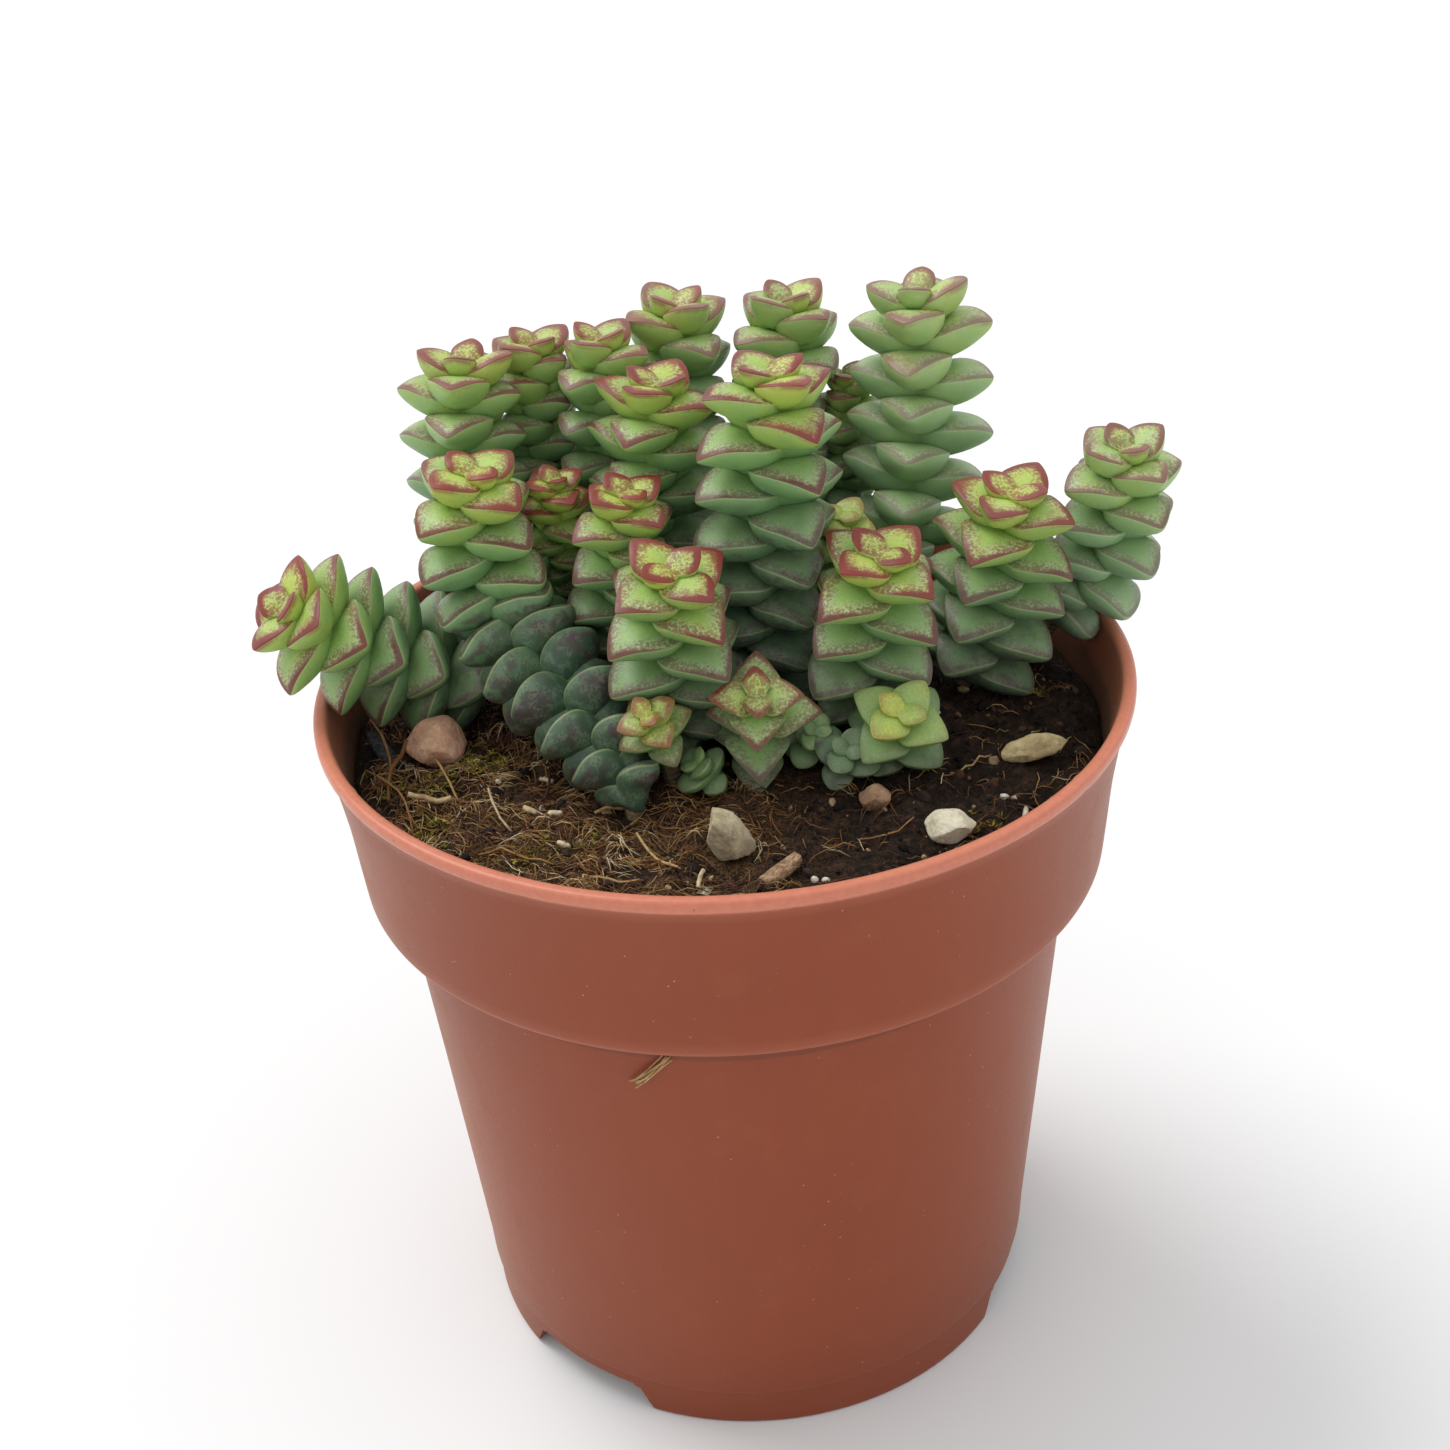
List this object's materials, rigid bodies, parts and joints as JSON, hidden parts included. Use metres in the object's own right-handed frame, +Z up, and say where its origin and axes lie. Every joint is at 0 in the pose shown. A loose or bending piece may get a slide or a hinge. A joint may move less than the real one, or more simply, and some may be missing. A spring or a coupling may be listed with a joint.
{
  "type": "potted succulent plant",
  "caption": "Round tapered nursery pot with a stepped collar and foot notches, full of soil, holding a clump of upright succulent shoots with stacked, pointed, fleshy leaf pairs.",
  "frame": {"origin": "Centre of the pot's foot, on the surface the pot stands on.", "axes": "+Z is up, along the pot's axis and the way the shoots grow. -Y is the front, where the soil is bare and the stones lie. +X is to the right seen from the front."},
  "size_m": [0.0952, 0.085, 0.1124],
  "materials": {
    "pot_plastic": "satin",
    "soil_peat": "matte",
    "stem_brown": "matte",
    "leaf_green": "satin",
    "leaf_young": "satin",
    "leaf_old": "satin",
    "stone_pink": "matte",
    "stone_cream": "matte",
    "wood_bits": "matte"
  },
  "bodies": {
    "root": {"bark_strip": "wood_bits", "leaves_back_hidden": "leaf_green", "leaves_back_left": "leaf_green", "leaves_back_left_mid": "leaf_green", "leaves_back_mid": "leaf_green", "leaves_back_mid_left": "leaf_green", "leaves_back_mid_right": "leaf_green", "leaves_back_right_tall": "leaf_green", "leaves_far_left_over_rim": "leaf_green", "leaves_far_right": "leaf_green", "leaves_front_bud_left": "leaf_young", "leaves_front_bud_right": "leaf_young", "leaves_front_left_centre": "leaf_green", "leaves_front_low": "leaf_old", "leaves_front_right_centre": "leaf_green", "leaves_front_rosette": "leaf_green", "leaves_left_centre": "leaf_green", "leaves_left_small": "leaf_green", "leaves_left_trailing": "leaf_green", "leaves_low_sprout_left": "leaf_green", "leaves_low_sprout_right": "leaf_green", "leaves_main_centre": "leaf_green", "leaves_mid_left_centre": "leaf_green", "leaves_right_bud": "leaf_young", "leaves_right_centre": "leaf_green", "pot": "pot_plastic", "soil": "soil_peat", "stem_back_hidden": "stem_brown", "stem_back_left": "stem_brown", "stem_back_left_mid": "stem_brown", "stem_back_mid": "stem_brown", "stem_back_mid_left": "stem_brown", "stem_back_mid_right": "stem_brown", "stem_back_right_tall": "stem_brown", "stem_far_left_over_rim": "stem_brown", "stem_far_right": "stem_brown", "stem_front_bud_left": "stem_brown", "stem_front_bud_right": "stem_brown", "stem_front_left_centre": "stem_brown", "stem_front_low": "stem_brown", "stem_front_right_centre": "stem_brown", "stem_front_rosette": "stem_brown", "stem_left_centre": "stem_brown", "stem_left_small": "stem_brown", "stem_left_trailing": "stem_brown", "stem_low_sprout_left": "stem_brown", "stem_low_sprout_right": "stem_brown", "stem_main_centre": "stem_brown", "stem_mid_left_centre": "stem_brown", "stem_right_bud": "stem_brown", "stem_right_centre": "stem_brown", "stone_flat_cream": "stone_cream", "stone_long_cream": "stone_cream", "stone_notched_pink": "stone_pink", "stone_pale_wedge": "stone_cream", "stone_small_brown": "stone_cream", "white_stick": "wood_bits", "wood_chip": "wood_bits"}
  },
  "joints": []
}
